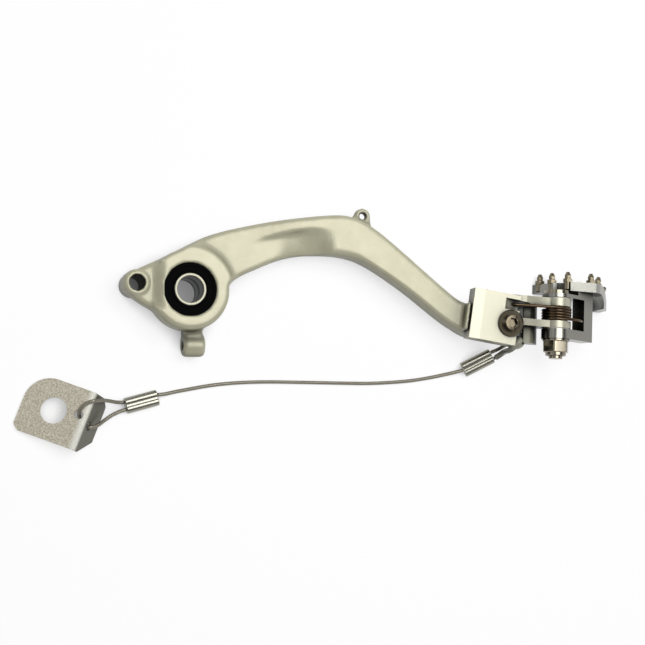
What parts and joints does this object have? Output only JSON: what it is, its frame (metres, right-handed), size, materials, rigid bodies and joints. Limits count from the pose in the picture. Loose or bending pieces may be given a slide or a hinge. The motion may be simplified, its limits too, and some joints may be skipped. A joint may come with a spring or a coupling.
{
  "type": "rear brake pedal",
  "caption": "Right-foot motorcycle rear brake pedal: cranked aluminium arm on ball bearings, sprung folding studded toe tread and a looped steel safety cable with anchor tab.",
  "frame": {"origin": "middle of the pivot bore, on its axis", "axes": "+Z along the pivot axis, outboard; +X along the arm towards the toe tread; +Y up"},
  "size_m": [0.3589, 0.1398, 0.0382],
  "materials": {
    "anodised_arm": "bead-blasted, clear anodised",
    "bright_bracket": "fine satin",
    "machined_tip": "machined",
    "dark_screw": "blackened",
    "hinge_steel": "zinc plated",
    "stud_steel": "zinc plated",
    "nylon": "moulded",
    "acetal": "moulded",
    "spring_steel": "oil tempered",
    "rope_steel": "stranded",
    "clear_sleeve": "clear shrink tube",
    "ferrule_metal": "crimped",
    "zinc_tab": "zinc plated",
    "seal_rubber": "moulded",
    "collar_steel": "ground",
    "bearing_steel": "ground",
    "cage_brass": "pressed"
  },
  "bodies": {
    "pedal": {"pedal_arm": "anodised_arm", "outboard_outer_ring": "bearing_steel", "inboard_outer_ring": "bearing_steel", "outboard_balls": "bearing_steel", "inboard_balls": "bearing_steel", "outboard_ball_cage": "cage_brass", "inboard_ball_cage": "cage_brass", "outboard_dust_seal": "seal_rubber", "inboard_dust_seal": "seal_rubber", "toe_bracket": "bright_bracket", "bracket_screw": "dark_screw", "hinge_bolt": "hinge_steel", "hinge_nut": "hinge_steel", "nut_nylon_ring": "nylon", "nut_washer": "hinge_steel", "thrust_washers": "acetal", "spring_bush": "machined_tip", "torsion_spring": "spring_steel", "safety_rope": "rope_steel", "front_loop_rope": "rope_steel", "front_loop_sleeve": "clear_sleeve", "rear_loop_rope": "rope_steel", "front_ferrule": "ferrule_metal", "rear_ferrule": "ferrule_metal", "anchor_tab": "zinc_tab"},
    "pivot_sleeve": {"outboard_inner_ring": "bearing_steel", "inboard_inner_ring": "bearing_steel", "bearing_spacer": "collar_steel", "outboard_collar": "collar_steel", "inboard_collar": "collar_steel"},
    "tip": {"folding_tip": "machined_tip", "grip_studs": "stud_steel"}
  },
  "joints": [
    {"name": "pivot_turn", "type": "hinge", "parent": "pedal", "child": "pivot_sleeve", "pos_m": [0, 0, 0], "axis": [0, 0, 1], "continuous": true},
    {"name": "tip_fold", "type": "hinge", "parent": "pedal", "child": "tip", "pos_m": [0.2207, -0.011, 0.013], "axis": [0.0523, 0.9986, 0], "range_deg": [0, 75], "stiffness_Nm_per_rad": 0.8, "springref_deg": -34.38, "deforming": ["torsion_spring"]}
  ]
}
